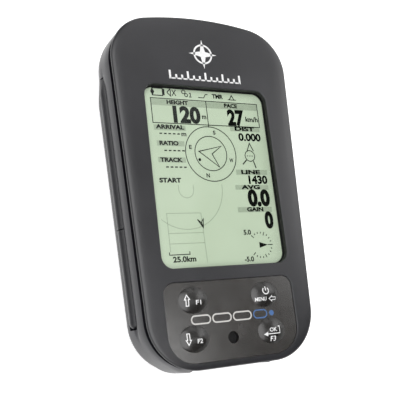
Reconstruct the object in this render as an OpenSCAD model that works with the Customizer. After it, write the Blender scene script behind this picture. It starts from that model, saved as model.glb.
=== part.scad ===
// Hand-held flight instrument with a satellite receiver, lying on its back.
// +Z points out of the screen, +Y to the antenna end, +X to the right of the screen.
// The origin is the middle of the footprint on the surface that the back rests on.

/* [Case] */
// Length of the case from the antenna end to the foot
case_length = 146.3; // [145.5:0.1:147.5]
// Half of the case width, halfway along its length
half_width = 39.3; // [39.2:0.05:39.6]
// Widening of each side towards the antenna end, in mm for each mm of length
side_taper = 0.0385; // [0.037:0.0005:0.04]
// Height of the front face above the back
case_depth = 25.0; // [24.5:0.1:25.5]
// Radius of the two corners at the antenna end, seen from the front
top_corner_r = 19.5; // [19:0.5:20.5]
// Radius of the two corners at the foot, seen from the front
bottom_corner_r = 20.5; // [19.5:0.5:21]
// Radius of the bowed edge at the antenna end
top_bow_r = 151; // [140:1:160]
// Thickness of the side walls
wall = 2.4; // [2.2:0.1:2.4]
// Thickness of the floor of the rear shell
floor_t = 2.0; // [1.8:0.1:2.2]

/* [Display] */
// Width of the window in the front shell
window_w = 57.4; // [56.5:0.1:58]
// Height of the window in the front shell
window_h = 75.3; // [74:0.1:76]
// Corner radius of the window
window_r = 5; // [4:0.5:6]
// Distance of the window's middle above the middle of the case
window_y = 4.05; // [3.5:0.05:4.5]
// Depth of the lens below the front face
lens_depth = 2.2; // [2.1:0.05:2.3]
// Thickness of the lens
lens_t = 1.0; // [0.9:0.05:1]

/* [Keypad] */
// Width of the keypad panel
pad_w = 57.9; // [57:0.1:58]
// Height of the keypad panel
pad_h = 30.7; // [30:0.1:31]
// Middle of the keypad panel, across the case
pad_x = -0.5; // [-0.8:0.1:0]
// Middle of the keypad panel, along the case
pad_y = -54.4; // [-54.6:0.1:-54.2]
// Depth of the keypad panel below the front face
pad_depth = 0.5; // [0.4:0.05:0.6]
// Half of a key's width
key_a = 6.3; // [6:0.1:6.4]
// Half of a key's height
key_b = 5.1; // [4.9:0.1:5.2]
// Rise of a key's dome above the keypad panel
key_rise = 1.5; // [1.2:0.1:1.8]
// Line that the keys are set out from
keys_x = -1.2; // [-1.4:0.1:-1]
// Distance of the two upper keys from that line
upper_key_dx = 16.2; // [16:0.1:16.6]
// Distance of the two lower keys from that line
lower_key_dx = 17.3; // [17:0.1:17.4]
// Middle of the upper keys, along the case
upper_key_y = -46.1; // [-46.2:0.1:-46]
// Middle of the lower keys, along the case
lower_key_y = -60.6; // [-60.7:0.1:-60.5]
// Free space round a key
key_gap = 0.2; // [0.15:0.05:0.25]
// Radius of the sounder's hole
sounder_hole_r = 2.35; // [2:0.05:2.5]

/* [Sides] */
// Height of the middle of the side ridges above the back
ridge_z = 9.4; // [9.3:0.1:9.5]
// Amount that the ridges stand proud of the sides
ridge_proud = 0.6; // [0.4:0.05:0.7]
// Height of the middle of the finger grooves above the back
groove_z = 12.7; // [12.6:0.1:12.8]
// Depth of the finger grooves
groove_depth = 1.0; // [0.8:0.1:1]
// End of the ridges nearest the antenna, along the case
ridge_top_y = 48; // [46:0.5:48]
// Slit between the fixed ridge and the port door, along the case
slit_y = -15.25; // [-15.3:0.05:-15.2]
// Width of that slit
slit_w = 0.35; // [0.3:0.05:0.4]
// Foot end of the port door, along the case
door_foot_y = -54.65; // [-54.7:0.05:-54.6]

/* [Foot] */
// Amount that the rear shell stands proud of the front shell at the foot
foot_bulge = 0.7; // [0.4:0.1:0.8]
// Width of the shallow recess at the foot
foot_recess_w = 36; // [34:1:38]
// Depth of the shallow recess at the foot
foot_recess_d = 1.5; // [1.3:0.1:1.6]
// Width of the lanyard pocket
lanyard_w = 14; // [13:0.5:15]
// Radius of the lanyard bar
lanyard_bar_r = 1.1; // [1:0.05:1.1]

/* [Hidden] */
$fn = 64;
eps = 0.01;

// Heights above the back
rim_z = case_depth - 3.9;        // top edge of the rear shell's wall
plate_z = case_depth - 2.6;      // underside of the front plate
gasket_top_z = case_depth - 1.7; // underside of the front plate's rim
pad_z = case_depth - pad_depth;  // top of the keypad panel
pad_t = 1.2;                     // thickness of the keypad panel
lens_z = case_depth - lens_depth;
lcd_z = lens_z - lens_t - 0.1;   // image plane of the display
trim_top_z = case_depth - 0.45;  // top of the black wall round the lens
boss_split_z = 14.1;             // where the front and rear bosses meet
board_z = 12.4;                  // underside of the main board
board_t = 1.6;
pad_board_z = case_depth - 6.4;  // underside of the keypad board
pad_board_t = 1.2;

// Outline of the case: two foot corners, two antenna corners and the bowed edge
side_norm = sqrt(1 + side_taper * side_taper);
side_angle = atan(side_taper);
foot_y = foot_bulge - case_length / 2;
foot_corner_y = foot_y + bottom_corner_r;
foot_corner_x = half_width + side_taper * foot_corner_y - bottom_corner_r * side_norm;
bow_y = case_length / 2 - top_bow_r;
corner_a = half_width - top_corner_r * side_norm;
quad_a = 1 + side_taper * side_taper;
quad_b = 2 * (corner_a * side_taper - bow_y);
quad_c = corner_a * corner_a + bow_y * bow_y - pow(top_bow_r - top_corner_r, 2);
top_corner_y = (sqrt(quad_b * quad_b - 4 * quad_a * quad_c) - quad_b) / (2 * quad_a);
top_corner_x = corner_a + side_taper * top_corner_y;
bow_angle = atan2(top_corner_y - bow_y, top_corner_x);
corner_steps = 12;
bow_steps = 8;

// The back edge is a quarter of an ellipse that grows towards the antenna end
edge_in = 4.2;
edge_rise = 5.8;
end_edge_in = 8;
end_edge_rise = 12;
end_from_y = 38;
end_to_y = 51;
turn_z = 16.5;                   // where the wall starts to turn in to the seal
turn_in = 0.7;
swell_top_z = 15;                // where the foot's swelling starts to fade
rear_levels = [0, 0.35, 1.1, 2.3, 4, 5.8, 8.5, 12, turn_z, 18.6, 20.1, rim_z - 0.4, rim_z];
cavity_levels = [floor_t, 3.2, 4.6, 6.4, 8.8, 12, rim_z + 1];
cavity_gap = 0.2;

// Places of the screws
boss_places = [[30, 58], [34.3, 8], [30, -58.5]];
post_places = [[28, 44], [20, -56.5]];
pad_post_places = [[keys_x, -43.5], [-8, -65.2], [5.4, -65.2]];
sounder_x = keys_x - 0.3;
sounder_y = -61.6;
boss_r = 2.6;
screw_r = 1.25;
insert_r = 2.0;

// Ridge, door and port bay, across the side wall
ridge_r = 5;
ridge_low_z = 7.15;
ridge_high_z = 12.25;
bay_low_z = ridge_low_z - 0.25;
bay_high_z = ridge_high_z + 0.25;
groove_r = 3;
grip_slot_d = 1.6;
bay_d = 4.9;
bay_wall_d = 6.7;
pivot_d = 2.0;                      // depth of the hinge pin behind the wall's surface
door_end_r = pivot_d + ridge_proud;
pivot_y = door_foot_y + door_end_r;
hinge_pin_r = 0.75;
door_inner_d = 2.4;
door_top_y = slit_y - slit_w / 2;

// Ports
usb_y = -45.3;
usb_size = [9.2, 7.7, 3.9];
card_y = -28.4;
card_size = [32, 24, 2.1];
card_end_d = 3.4;
card_push = 0.8;
card_z = board_z - 2.45;

// Lanyard pocket
lanyard_z = 8.4;
lanyard_bar_y = foot_y + 2.75;
lanyard_back_y = foot_y + 8.65;
lanyard_low_z = 2.6;
lanyard_high_z = 14.2;

keys = [[keys_x - upper_key_dx, upper_key_y], [keys_x - lower_key_dx, lower_key_y],
        [keys_x + upper_key_dx, upper_key_y], [keys_x + lower_key_dx, lower_key_y]];
key_travel = 0.5;

// ---- Shared functions and shapes ----

function arc(x, y, r, from, to, steps) =
    [for (i = [0:steps]) let (a = from + (to - from) * i / steps) [x + r * cos(a), y + r * sin(a)]];

function but_last(list) = [for (i = [0:len(list) - 2]) list[i]];

function smooth_step(low, high, value) =
    let (t = min(1, max(0, (value - low) / (high - low)))) t * t * (3 - 2 * t);

// An arc as points with the directions to its centre
function rim_arc(x, y, r, from, to, steps) =
    [for (i = [0:steps]) let (a = from + (to - from) * i / steps)
     [[x + r * cos(a), y + r * sin(a)], [-cos(a), -sin(a)]]];

// The straight side, where the back edge grows
side_rim = [for (y = [end_from_y:3.5:end_to_y - 2])
            [[half_width + side_taper * y, y], [-cos(side_angle), sin(side_angle)]]];

rim_half = concat(rim_arc(foot_corner_x, foot_corner_y, bottom_corner_r, -90, -side_angle,
                          corner_steps),
                  side_rim,
                  but_last(rim_arc(top_corner_x, top_corner_y, top_corner_r, -side_angle, bow_angle,
                                   corner_steps)),
                  but_last(rim_arc(0, bow_y, top_bow_r, bow_angle, 90, bow_steps)));

// The whole outline: points with their inward directions
rim = concat(rim_half, [[[0, bow_y + top_bow_r], [0, -1]]],
             [for (i = [len(rim_half) - 1:-1:0]) let (q = rim_half[i])
              [[-q[0][0], q[0][1]], [-q[1][0], q[1][1]]]]);

function mirrored(list) = [for (i = [len(list) - 1:-1:0]) [-list[i][0], list[i][1]]];

// The case outline, moved inwards by inset
function case_outline(inset) = [for (q = rim) q[0] + inset * q[1]];

// Inset of the rounded back edge at height z and place y
function edge_inset(z, y) =
    let (share = smooth_step(end_from_y, end_to_y, y),
         reach = edge_in + share * (end_edge_in - edge_in),
         rise = edge_rise + share * (end_edge_rise - edge_rise),
         drop = max(0, rise - z) / rise)
    reach * (1 - sqrt(1 - drop * drop));

// How much of the swelling reaches a place, from its inward direction
function foot_share(inward) = smooth_step(0.85, 0.99, inward[1]);

// Outline of the rear shell at height z: back edge, turn to the seal, and swelling at the foot
function rear_outline(z) =
    let (turn = turn_in * pow(max(0, (z - turn_z) / (rim_z - turn_z)), 2),
         swell = foot_bulge * (1 - smooth_step(swell_top_z, rim_z, z)))
    [for (q = rim) q[0] + (edge_inset(z, q[0][1]) + turn - swell * foot_share(q[1])) * q[1]];

// Outline of its inside at height z
function cavity_outline(z) =
    [for (q = rim) q[0] + (edge_inset(z, q[0][1]) + wall + cavity_gap) * q[1]];

// A rectangle with one corner radius at its top and one at its bottom, moved outwards by grow
function soft_rect(x, y, w, h, r_top, r_low, grow) =
    let (hw = w / 2, hh = h / 2)
    concat(arc(x + hw - r_low, y - hh + r_low, r_low + grow, -90, 0, 8),
           arc(x + hw - r_top, y + hh - r_top, r_top + grow, 0, 90, 8),
           arc(x - hw + r_top, y + hh - r_top, r_top + grow, 90, 180, 8),
           arc(x - hw + r_low, y - hh + r_low, r_low + grow, 180, 270, 8));

function window_outline(grow) = soft_rect(0, window_y, window_w, window_h, window_r, window_r, grow);

function pad_outline(grow) = soft_rect(pad_x, pad_y, pad_w, pad_h, 4.5, 9, grow);

function ellipse(place, a, b) =
    [for (i = [0:39]) [place[0] + a * cos(i * 9), place[1] + b * sin(i * 9)]];

// A closed solid through a stack of outlines
module skin(rings, heights) {
    n = len(rings[0]);
    m = len(rings);
    points = [for (k = [0:m - 1]) for (p = rings[k]) [p[0], p[1], heights[k]]];
    sides = [for (k = [0:m - 2]) for (i = [0:n - 1]) let (j = (i + 1) % n)
             [k * n + i, (k + 1) * n + i, (k + 1) * n + j, k * n + j]];
    low = [for (i = [0:n - 1]) i];
    high = [for (i = [n - 1:-1:0]) (m - 1) * n + i];
    polyhedron(points, concat([low], sides, [high]), convexity = 10);
}

module case_skin(profile) {
    skin([for (p = profile) case_outline(p[0])], [for (p = profile) p[1]]);
}

module prism(outline, low, high) {
    translate([0, 0, low]) linear_extrude(height = high - low) polygon(outline);
}

module rod(x, y, low, high, r) {
    translate([x, y, low]) cylinder(h = high - low, r = r);
}

module both_sides() {
    children();
    mirror([1, 0, 0]) children();
}

// Local frame of the left side: +X runs into the case, +Y along the side
module at_left_side() {
    translate([-half_width, 0, 0]) rotate([0, 0, side_angle]) children();
}

module side_block(depth_from, depth_to, y_from, y_to, low, high) {
    translate([depth_from, y_from, low]) cube([depth_to - depth_from, y_to - y_from, high - low]);
}

// Bulged strip along the side, as deep as depth
module ridge_bar(y_from, y_to, depth) {
    low_a = asin((ridge_low_z - ridge_z) / ridge_r);
    high_a = asin((ridge_high_z - ridge_z) / ridge_r);
    face = arc(ridge_r - ridge_proud, ridge_z, ridge_r, 180 - high_a, 180 - low_a, 10);
    translate([0, y_to, 0]) rotate([90, 0, 0]) linear_extrude(height = y_to - y_from)
        polygon(concat(face, [[depth, ridge_low_z], [depth, ridge_high_z]]));
}

// Finger groove with tapered ends, as a cutter
module groove() {
    run_out = 8;
    start = door_foot_y + 1;
    end = ridge_top_y - 4;
    centre_d = groove_depth - groove_r;
    translate([centre_d, 0, groove_z]) rotate([-90, 0, 0]) {
        translate([0, 0, start]) cylinder(h = end - start, r = groove_r);
        translate([0, 0, end - eps])
            cylinder(h = run_out, r1 = groove_r, r2 = groove_r - groove_depth - 0.2);
        translate([0, 0, start + eps]) mirror([0, 0, 1])
            cylinder(h = run_out, r1 = groove_r, r2 = groove_r - groove_depth - 0.2);
    }
}

// ---- Case ----

module front_shell() {
    color([0.29, 0.29, 0.31]) difference() {
        union() {
            case_skin([[0.35, gasket_top_z], [0.1, case_depth - 1.5], [0, case_depth - 1.2],
                       [0.1, case_depth - 0.85], [0.4, case_depth - 0.55],
                       [0.9, case_depth - 0.35], [2, case_depth - 0.18],
                       [4, case_depth - 0.05], [7, case_depth]]);
            prism(case_outline(2.8), plate_z, gasket_top_z + eps);
            difference() {
                prism(case_outline(2.8), rim_z - 2, plate_z + eps);
                prism(case_outline(4.2), rim_z - 2.1, plate_z + 0.1);
            }
            both_sides() for (p = boss_places)
                rod(p[0], p[1], boss_split_z + 0.1, plate_z + eps, boss_r);
            for (p = pad_post_places)
                rod(p[0], p[1], pad_board_z + pad_board_t, plate_z + eps, 1.8);
        }
        prism(window_outline(1), plate_z - 0.1, trim_top_z + 0.05);
        skin([window_outline(0), window_outline(0), window_outline(0.05), window_outline(0.15),
              window_outline(0.4)],
             [plate_z - 0.1, case_depth - 0.3, case_depth - 0.2, case_depth - 0.1,
              case_depth + 0.05]);
        prism(pad_outline(0.1), pad_z - pad_t, case_depth + 1);
        for (k = keys)
            prism(ellipse(k, key_a + key_gap, key_b + key_gap), plate_z - 1, case_depth);
        rod(sounder_x, sounder_y, plate_z - 1, case_depth, sounder_hole_r);
        both_sides() for (p = boss_places) {
            rod(p[0], p[1], boss_split_z, boss_split_z + 4.3, insert_r);
            rod(p[0], p[1], boss_split_z + 4.2, boss_split_z + 6, screw_r + 0.1);
        }
        for (p = pad_post_places) rod(p[0], p[1], pad_board_z, pad_board_z + 3.2, 0.66);
    }
}

module rear_bosses() {
    both_sides() {
        for (p = boss_places) {
            rod(p[0], p[1], 1, boss_split_z, boss_r + 0.15);
            rod(p[0], p[1], 1, 4.6, 3.8);
        }
        for (p = post_places) rod(p[0], p[1], 1, board_z, 2.3);
    }
}

module rear_bores() {
    both_sides() {
        for (p = boss_places) {
            rod(p[0], p[1], 1, boss_split_z + 1, screw_r + 0.2);
            rod(p[0], p[1], -1, 2.4, 2.6);
        }
        for (p = post_places) rod(p[0], p[1], board_z - 4.5, board_z + 1, 1.0);
    }
}

// Wall of the port bay, and what is cut from it
module bay_walls() {
    at_left_side()
        side_block(1.2, bay_wall_d, door_foot_y - 2, slit_y + 1.6, bay_low_z - 1.5, bay_high_z + 1.1);
}

module bay_cuts() {
    at_left_side() {
        side_block(-3, bay_d, door_foot_y - 0.3, slit_y, bay_low_z, bay_high_z);
        side_block(-3, grip_slot_d, slit_y - 0.1, ridge_top_y + 0.3, bay_low_z, bay_high_z);
        side_block(bay_d - 0.5, bay_wall_d + 0.5, usb_y - 3.95, usb_y + 3.95,
                   board_z - 4, board_z + 0.05);
        side_block(bay_d - 0.5, bay_wall_d + 0.5, card_y - 12.3, card_y + 12.3,
                   card_z - 0.15, card_z + card_size[2] + 0.15);
        rod(pivot_d, pivot_y, bay_low_z - 1.2, bay_high_z + 0.8, hinge_pin_r + 0.01);
        groove();
    }
    mirror([1, 0, 0]) at_left_side() {
        side_block(-3, grip_slot_d, door_foot_y - 0.3, ridge_top_y + 0.3, bay_low_z, bay_high_z);
        groove();
    }
}

module lanyard_pocket_cuts() {
    translate([-lanyard_w / 2, foot_y - 2, lanyard_low_z])
        cube([lanyard_w, lanyard_back_y - foot_y + 2, lanyard_high_z - lanyard_low_z]);
    translate([-foot_recess_w / 2, foot_y - 2, 3])
        cube([foot_recess_w, 2 - foot_bulge + foot_recess_d, case_depth]);
    translate([0, lanyard_bar_y, lanyard_z]) rotate([0, 90, 0])
        cylinder(h = lanyard_w + 3, r = lanyard_bar_r + 0.01, center = true);
}

// Inside of the rear shell, less what stands in it
module rear_cavity() {
    difference() {
        skin([for (z = cavity_levels) cavity_outline(z)], cavity_levels);
        rear_bosses();
        bay_walls();
        translate([-lanyard_w / 2 - 2.2, foot_y + 1.8, 1])
            cube([lanyard_w + 4.4, lanyard_back_y - foot_y, lanyard_high_z + 0.2]);
    }
}

module rear_shell() {
    color([0.2, 0.2, 0.22]) difference() {
        skin([for (z = rear_levels) rear_outline(z)], rear_levels);
        rear_cavity();
        rear_bores();
        bay_cuts();
        lanyard_pocket_cuts();
        prism(soft_rect(0, 14, 44, 26, 2, 2, 0.1), -1, 0.4);
    }
}

module seal_gasket() {
    color([0.05, 0.05, 0.05]) difference() {
        prism(case_outline(0.6), rim_z, gasket_top_z);
        prism(case_outline(2.7), rim_z - 1, gasket_top_z + 1);
    }
}

module left_grip() {
    color([0.17, 0.17, 0.18]) at_left_side() difference() {
        ridge_bar(slit_y + slit_w / 2, ridge_top_y, grip_slot_d);
        groove();
    }
}

module right_grip() {
    color([0.17, 0.17, 0.18]) mirror([1, 0, 0]) at_left_side() difference() {
        ridge_bar(door_foot_y, ridge_top_y, grip_slot_d);
        groove();
    }
}

module port_door() {
    color([0.17, 0.17, 0.18]) at_left_side() difference() {
        intersection() {
            ridge_bar(door_foot_y, door_top_y, pivot_d + 2.2);
            union() {
                rod(pivot_d, pivot_y, 0, 20, door_end_r);
                side_block(-3, door_inner_d, pivot_y, door_top_y + 1, 0, 20);
            }
        }
        groove();
        rod(pivot_d, pivot_y, 0, 20, hinge_pin_r + 0.05);
    }
}

module door_hinge_pin() {
    color([0.75, 0.75, 0.77]) at_left_side()
        rod(pivot_d, pivot_y, bay_low_z - 1.2, bay_high_z + 0.8, hinge_pin_r);
}

module lanyard_bar() {
    color([0.75, 0.75, 0.77]) translate([0, lanyard_bar_y, lanyard_z]) rotate([0, 90, 0])
        cylinder(h = lanyard_w + 3, r = lanyard_bar_r, center = true);
}

module case_screws() {
    color([0.5, 0.5, 0.52]) both_sides() for (p = boss_places) difference() {
        union() {
            rod(p[0], p[1], 2.4 - eps, 18, screw_r);
            rod(p[0], p[1], 0.5, 2.4, 2.3);
        }
        translate([p[0], p[1], 0]) cylinder(h = 1.6, r = 0.95, $fn = 6);
    }
}

module screw_inserts() {
    color([0.8, 0.65, 0.3]) both_sides() for (p = boss_places) difference() {
        rod(p[0], p[1], boss_split_z + 0.2, boss_split_z + 4.2, insert_r);
        rod(p[0], p[1], boss_split_z - 1, boss_split_z + 6, screw_r + 0.02);
    }
}

module rating_label() {
    color([0.8, 0.8, 0.8]) prism(soft_rect(0, 14, 44, 26, 2, 2, 0), 0.1, 0.4);
}

// ---- Display ----

module window_trim() {
    color([0.04, 0.04, 0.04]) difference() {
        prism(window_outline(0.95), lens_z, trim_top_z);
        prism(window_outline(0), lens_z - 1, case_depth);
    }
}

module display_lens() {
    color([0.8, 0.85, 0.82, 0.4]) prism(window_outline(0.85), lens_z - lens_t, lens_z);
}

module lcd_panel() {
    color([0.75, 0.83, 0.7]) translate([-30.7, window_y - 41, lcd_z - 2.2]) cube([61.4, 82, 2.2]);
}

module lcd_backlight() {
    color([0.9, 0.9, 0.88]) translate([-30.5, window_y - 40.5, lcd_z - 4.5]) cube([61, 81, 2.3]);
}

module lcd_frame() {
    low_z = lcd_z - 5.1;
    color([0.6, 0.6, 0.62]) difference() {
        translate([-31.5, window_y - 43, low_z]) cube([63, 86, lens_z - lens_t - low_z]);
        translate([-30.75, window_y - 41.05, lcd_z - 4.5]) cube([61.5, 82.1, 10]);
    }
}

// Flat ribbon that turns back under the display frame
module display_ribbon() {
    bend_r = 1.0;
    tape = 0.25;
    bend_y = window_y - 44.2;
    bend_z = lcd_z - 5.2;
    color([0.75, 0.45, 0.15]) translate([-9, 0, 0]) rotate([90, 0, 90]) linear_extrude(height = 18) {
        difference() {
            translate([bend_y, bend_z]) circle(r = bend_r);
            translate([bend_y, bend_z]) circle(r = bend_r - tape);
            translate([bend_y, bend_z - 2]) square([3, 4]);
        }
        translate([bend_y - eps, bend_z + bend_r - tape]) square([1.2 + eps, tape]);
        translate([bend_y - eps, bend_z - bend_r]) square([2.2 + eps, tape]);
    }
}

module display_connector() {
    color([0.85, 0.82, 0.75]) translate([-11, window_y - 42, board_z + board_t]) cube([22, 5, 2.2]);
}

// ---- Keypad ----

module keypad_overlay() {
    color([0.42, 0.4, 0.38]) difference() {
        prism(pad_outline(0), pad_z - pad_t, pad_z);
        for (k = keys) prism(ellipse(k, key_a + key_gap, key_b + key_gap), pad_z - 3, pad_z + 1);
        rod(sounder_x, sounder_y, pad_z - 3, pad_z + 1, sounder_hole_r);
    }
}

// A domed key: cap, skirt, retaining flange and plunger
module key(place) {
    steps = 6;
    flange_z = plate_z - 1.0;
    color([0.36, 0.35, 0.33]) {
        skin([for (i = [0:steps]) let (c = cos(i * 80 / steps)) ellipse(place, key_a * c, key_b * c)],
             [for (i = [0:steps]) pad_z - eps + key_rise * sin(i * 80 / steps)]);
        prism(ellipse(place, key_a, key_b), flange_z + 0.7, pad_z);
        prism(ellipse(place, key_a + 0.7, key_b + 0.7), flange_z, flange_z + 0.75);
        rod(place[0], place[1], pad_board_z + pad_board_t + 0.5 + key_travel + 0.05,
            flange_z + eps, 1.6);
    }
}

module key_up() { key(keys[0]); }

module key_down() { key(keys[1]); }

module key_menu() { key(keys[2]); }

module key_enter() { key(keys[3]); }

module keypad_board() {
    half = [[18.2, -67.8], [25.2, -60.8], [25.2, -40.3]];
    color([0.1, 0.35, 0.2]) difference() {
        translate([keys_x, 0, 0])
            prism(concat(half, mirrored(half)), pad_board_z, pad_board_z + pad_board_t);
        rod(sounder_x, sounder_y, 0, 30, 2.6);
        for (p = pad_post_places) rod(p[0], p[1], 0, 30, 0.8);
    }
}

module dome_switches() {
    color([0.8, 0.8, 0.78]) for (k = keys)
        rod(k[0], k[1], pad_board_z + pad_board_t, pad_board_z + pad_board_t + 0.5, 3);
}

module keypad_screws() {
    color([0.6, 0.6, 0.62]) for (p = pad_post_places) {
        rod(p[0], p[1], pad_board_z - 0.9, pad_board_z, 1.4);
        rod(p[0], p[1], pad_board_z - eps, pad_board_z + 3, 0.65);
    }
}

module sounder() {
    color([0.08, 0.08, 0.08]) difference() {
        rod(sounder_x, sounder_y, pad_board_z - 3, pad_board_z, 6);
        rod(sounder_x, sounder_y, pad_board_z - 0.8, pad_board_z + 1, 1.2);
    }
}

module sounder_seal() {
    color([0.15, 0.15, 0.15]) difference() {
        rod(sounder_x, sounder_y, pad_board_z + pad_board_t, plate_z - 0.2, 4);
        rod(sounder_x, sounder_y, 0, 30, 2.6);
    }
}

module vent_membrane() {
    color([0.1, 0.1, 0.1]) rod(sounder_x, sounder_y, plate_z - 0.2, plate_z, 4);
}

// ---- Electronics ----

module main_board() {
    half = [[24, -59], [30.2, -52.5], [30.2, 47], [25, 50], [25, 67]];
    color([0.1, 0.35, 0.2]) difference() {
        prism(concat(half, mirrored(half)), board_z, board_z + board_t);
        both_sides() for (p = post_places) rod(p[0], p[1], 0, 30, 1.1);
    }
}

module board_screws() {
    color([0.6, 0.6, 0.62]) both_sides() for (p = post_places) {
        rod(p[0], p[1], board_z - 4, board_z + board_t + eps, 0.98);
        rod(p[0], p[1], board_z + board_t, board_z + board_t + 1.2, 1.9);
    }
}

module on_board(x, y, size) {
    translate([x - size[0] / 2, y - size[1] / 2, board_z + board_t]) cube(size);
}

module processor() { color([0.1, 0.1, 0.1]) on_board(0, -15, [14, 14, 1.4]); }

module gps_module() { color([0.7, 0.7, 0.72]) on_board(16, 32, [12, 16, 2.4]); }

module gps_antenna() {
    color([0.75, 0.7, 0.6]) on_board(0, 58, [20, 16, 4]);
    color([0.8, 0.8, 0.8]) translate([0, 0, 4]) on_board(0, 58, [16, 12, 0.2]);
}

module pressure_sensor() {
    color([0.8, 0.8, 0.8]) difference() {
        on_board(14, -48, [5, 5, 1.7]);
        rod(14, -48, board_z + board_t + 1, board_z + board_t + 3, 0.5);
    }
}

module backup_cell() {
    color([0.8, 0.8, 0.82]) rod(-16, 22, board_z + board_t, board_z + board_t + 2.1, 6);
}

// Five-pin charging and data socket: metal shell round a tongue
module usb_socket() {
    skin_t = 0.4;
    mouth = 6;
    corner = [bay_d, usb_y - usb_size[1] / 2, board_z - usb_size[2]];
    color([0.78, 0.78, 0.8]) at_left_side() translate(corner) {
        difference() {
            cube(usb_size);
            translate([-1, skin_t, skin_t])
                cube([mouth + 1, usb_size[1] - 2 * skin_t, usb_size[2] - 2 * skin_t]);
        }
        translate([1, 2, 1.6]) cube([mouth, usb_size[1] - 4, 0.7]);
    }
}

module card_socket() {
    skin_t = 0.25;
    run = card_end_d + card_size[0] + card_push + 0.2 - bay_wall_d;
    color([0.78, 0.78, 0.8]) at_left_side() difference() {
        side_block(bay_wall_d + 0.1, bay_wall_d + 0.9 + run, card_y - 12.8, card_y + 12.8,
                   card_z - 0.35, board_z);
        side_block(0, bay_wall_d + run, card_y - 12.2, card_y + 12.2,
                   card_z - 0.1, board_z - skin_t);
    }
}

// Memory card with its cut corner and finger lip
module memory_card() {
    cut = 3;
    outline = [[0, 0], [0, card_size[1]], [card_size[0], card_size[1]],
               [card_size[0], cut], [card_size[0] - cut, 0]];
    color([0.12, 0.16, 0.3]) at_left_side() translate([card_end_d, card_y - card_size[1] / 2, card_z])
        difference() {
            linear_extrude(height = card_size[2]) polygon(outline);
            translate([0.6, 4, card_size[2] - 0.3]) cube([0.8, card_size[1] - 8, 1]);
        }
}

module battery_pack() {
    color([0.25, 0.45, 0.7]) prism(soft_rect(0, 21, 50, 58, 3, 3, 0), floor_t + 0.3, 10.9);
}

module battery_pad() {
    color([0.3, 0.3, 0.3]) translate([-20, -2, 10.9]) cube([40, 46, board_z - 10.9]);
}

module battery_leads() {
    color([0.7, 0.1, 0.1]) for (x = [9.5, 12.5]) translate([x, -8, 9.8]) rotate([90, 0, 0])
        cylinder(h = 4, r = 0.7);
}

module battery_connector() {
    color([0.85, 0.82, 0.75]) translate([7, -17, 8.6]) cube([8, 5, board_z - 8.6]);
}

front_shell();
rear_shell();
seal_gasket();
window_trim();
display_lens();
lcd_panel();
lcd_backlight();
lcd_frame();
display_ribbon();
display_connector();
keypad_overlay();
key_up();
key_down();
key_menu();
key_enter();
keypad_board();
dome_switches();
keypad_screws();
sounder();
sounder_seal();
vent_membrane();
main_board();
board_screws();
processor();
gps_module();
gps_antenna();
pressure_sensor();
backup_cell();
usb_socket();
card_socket();
memory_card();
battery_pack();
battery_pad();
battery_leads();
battery_connector();
left_grip();
right_grip();
port_door();
door_hinge_pin();
lanyard_bar();
case_screws();
screw_inserts();
rating_label();
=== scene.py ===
"""Visual model of a hand-held flight instrument that lies on its back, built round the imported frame.

+Z points out of the screen, +Y to the antenna end and +X to the right of the screen. Lengths are in
millimetres in this script and become metres where a mesh is made.
"""
import math

import bmesh
import bpy
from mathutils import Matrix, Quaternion, Vector


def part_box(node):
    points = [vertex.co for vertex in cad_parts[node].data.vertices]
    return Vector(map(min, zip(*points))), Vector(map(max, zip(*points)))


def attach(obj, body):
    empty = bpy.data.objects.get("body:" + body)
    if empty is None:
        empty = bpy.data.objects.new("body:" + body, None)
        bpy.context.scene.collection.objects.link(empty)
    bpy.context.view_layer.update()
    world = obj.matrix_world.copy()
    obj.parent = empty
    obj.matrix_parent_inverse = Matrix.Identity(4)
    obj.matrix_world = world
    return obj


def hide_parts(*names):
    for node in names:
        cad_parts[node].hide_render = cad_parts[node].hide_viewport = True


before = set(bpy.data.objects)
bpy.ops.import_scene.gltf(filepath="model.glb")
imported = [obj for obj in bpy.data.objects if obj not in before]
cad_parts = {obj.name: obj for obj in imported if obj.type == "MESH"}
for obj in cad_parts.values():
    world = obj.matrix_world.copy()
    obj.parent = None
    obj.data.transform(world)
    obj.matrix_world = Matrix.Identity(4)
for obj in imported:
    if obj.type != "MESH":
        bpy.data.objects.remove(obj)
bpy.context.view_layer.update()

MM = 0.001
QUARTER = math.pi / 2


def box_mm(node):
    """Lowest and highest corner of a CAD node, in millimetres."""
    low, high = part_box(node)
    return low / MM, high / MM


def centre_mm(node):
    return sum(box_mm(node), Vector()) / 2


# ---- Sizes read from the frame ----
FRONT_LOW, FRONT_HIGH = box_mm("front_shell")
REAR_LOW, REAR_HIGH = box_mm("rear_shell")
WINDOW_LOW, WINDOW_HIGH = box_mm("window_trim")
PAD_LOW, PAD_HIGH = box_mm("keypad_overlay")
LCD_Z = box_mm("lcd_panel")[1].z
BOARD_Z = box_mm("main_board")[0].z
CARD_LOW, CARD_HIGH = box_mm("memory_card")
LABEL_LOW, LABEL_HIGH = box_mm("rating_label")
BAR_LOW, BAR_HIGH = box_mm("lanyard_bar")

CASE_LENGTH = FRONT_HIGH.y - FRONT_LOW.y
FOOT_Y = FRONT_LOW.y
FOOT_BULGE = FRONT_LOW.y - REAR_LOW.y
FACE_Z = FRONT_HIGH.z
RIM_Z = REAR_HIGH.z
GASKET_TOP = box_mm("seal_gasket")[1].z
PLATE_Z = GASKET_TOP - 0.9  # underside of the front plate
TONGUE_Z = RIM_Z - 2.0  # foot of the front shell's tongue, inside the rear shell
SKIN_TOP = RIM_Z - 1.0  # where the rear shell's skin ends under the seal
PAD_Z = PAD_HIGH.z
KEYS = {name: centre_mm(name) for name in ("key_up", "key_down", "key_menu", "key_enter")}
SOUNDER = centre_mm("sounder")

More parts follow.
